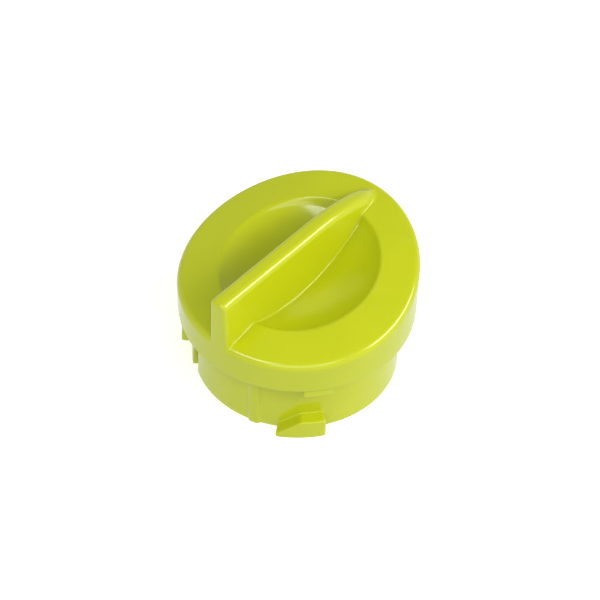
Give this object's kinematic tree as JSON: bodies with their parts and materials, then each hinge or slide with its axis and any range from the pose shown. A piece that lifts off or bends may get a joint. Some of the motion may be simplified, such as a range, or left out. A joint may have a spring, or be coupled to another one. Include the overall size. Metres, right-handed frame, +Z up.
{
  "type": "wasp trap cap",
  "caption": "Twist-lock cap of a wasp trap: dished sloping cover with a thumb fin, bayonet sleeve with lugs, and a pull-out lure tray with a rotary scent shutter.",
  "frame": {"origin": "centre of the seating plane, the lower edge of the cover wall, on the sleeve's axis", "axes": "+Z up along the sleeve's axis, out of the neck; +X along the thumb fin, from its tall end towards its low end"},
  "size_m": [0.0825, 0.0812, 0.0572],
  "materials": {
    "cover_green": "satin gloss, lime green",
    "sleeve_green": "satin, lime green",
    "tray_green": "satin, lime green",
    "black_rubber": "matt",
    "lure_felt": "needled felt",
    "screw_steel": "zinc plated"
  },
  "bodies": {
    "cap": {"grip_cover": "cover_green", "bayonet_sleeve": "sleeve_green", "cover_screws": "screw_steel", "neck_gasket": "black_rubber"},
    "lure_tray": {"lure_tray": "tray_green", "tray_seal": "black_rubber", "lure_pad": "lure_felt", "shutter_rivet": "tray_green"},
    "vent_shutter": {"vent_shutter": "tray_green"}
  },
  "joints": [
    {"name": "tray_release", "type": "slide", "parent": "cap", "child": "lure_tray", "axis": [0, 0, -1], "range_m": [0, 0.03]},
    {"name": "shutter_turn", "type": "hinge", "parent": "lure_tray", "child": "vent_shutter", "pos_m": [0, 0, -0.0168], "axis": [0, 0, 1], "range_deg": [0, 30]}
  ]
}
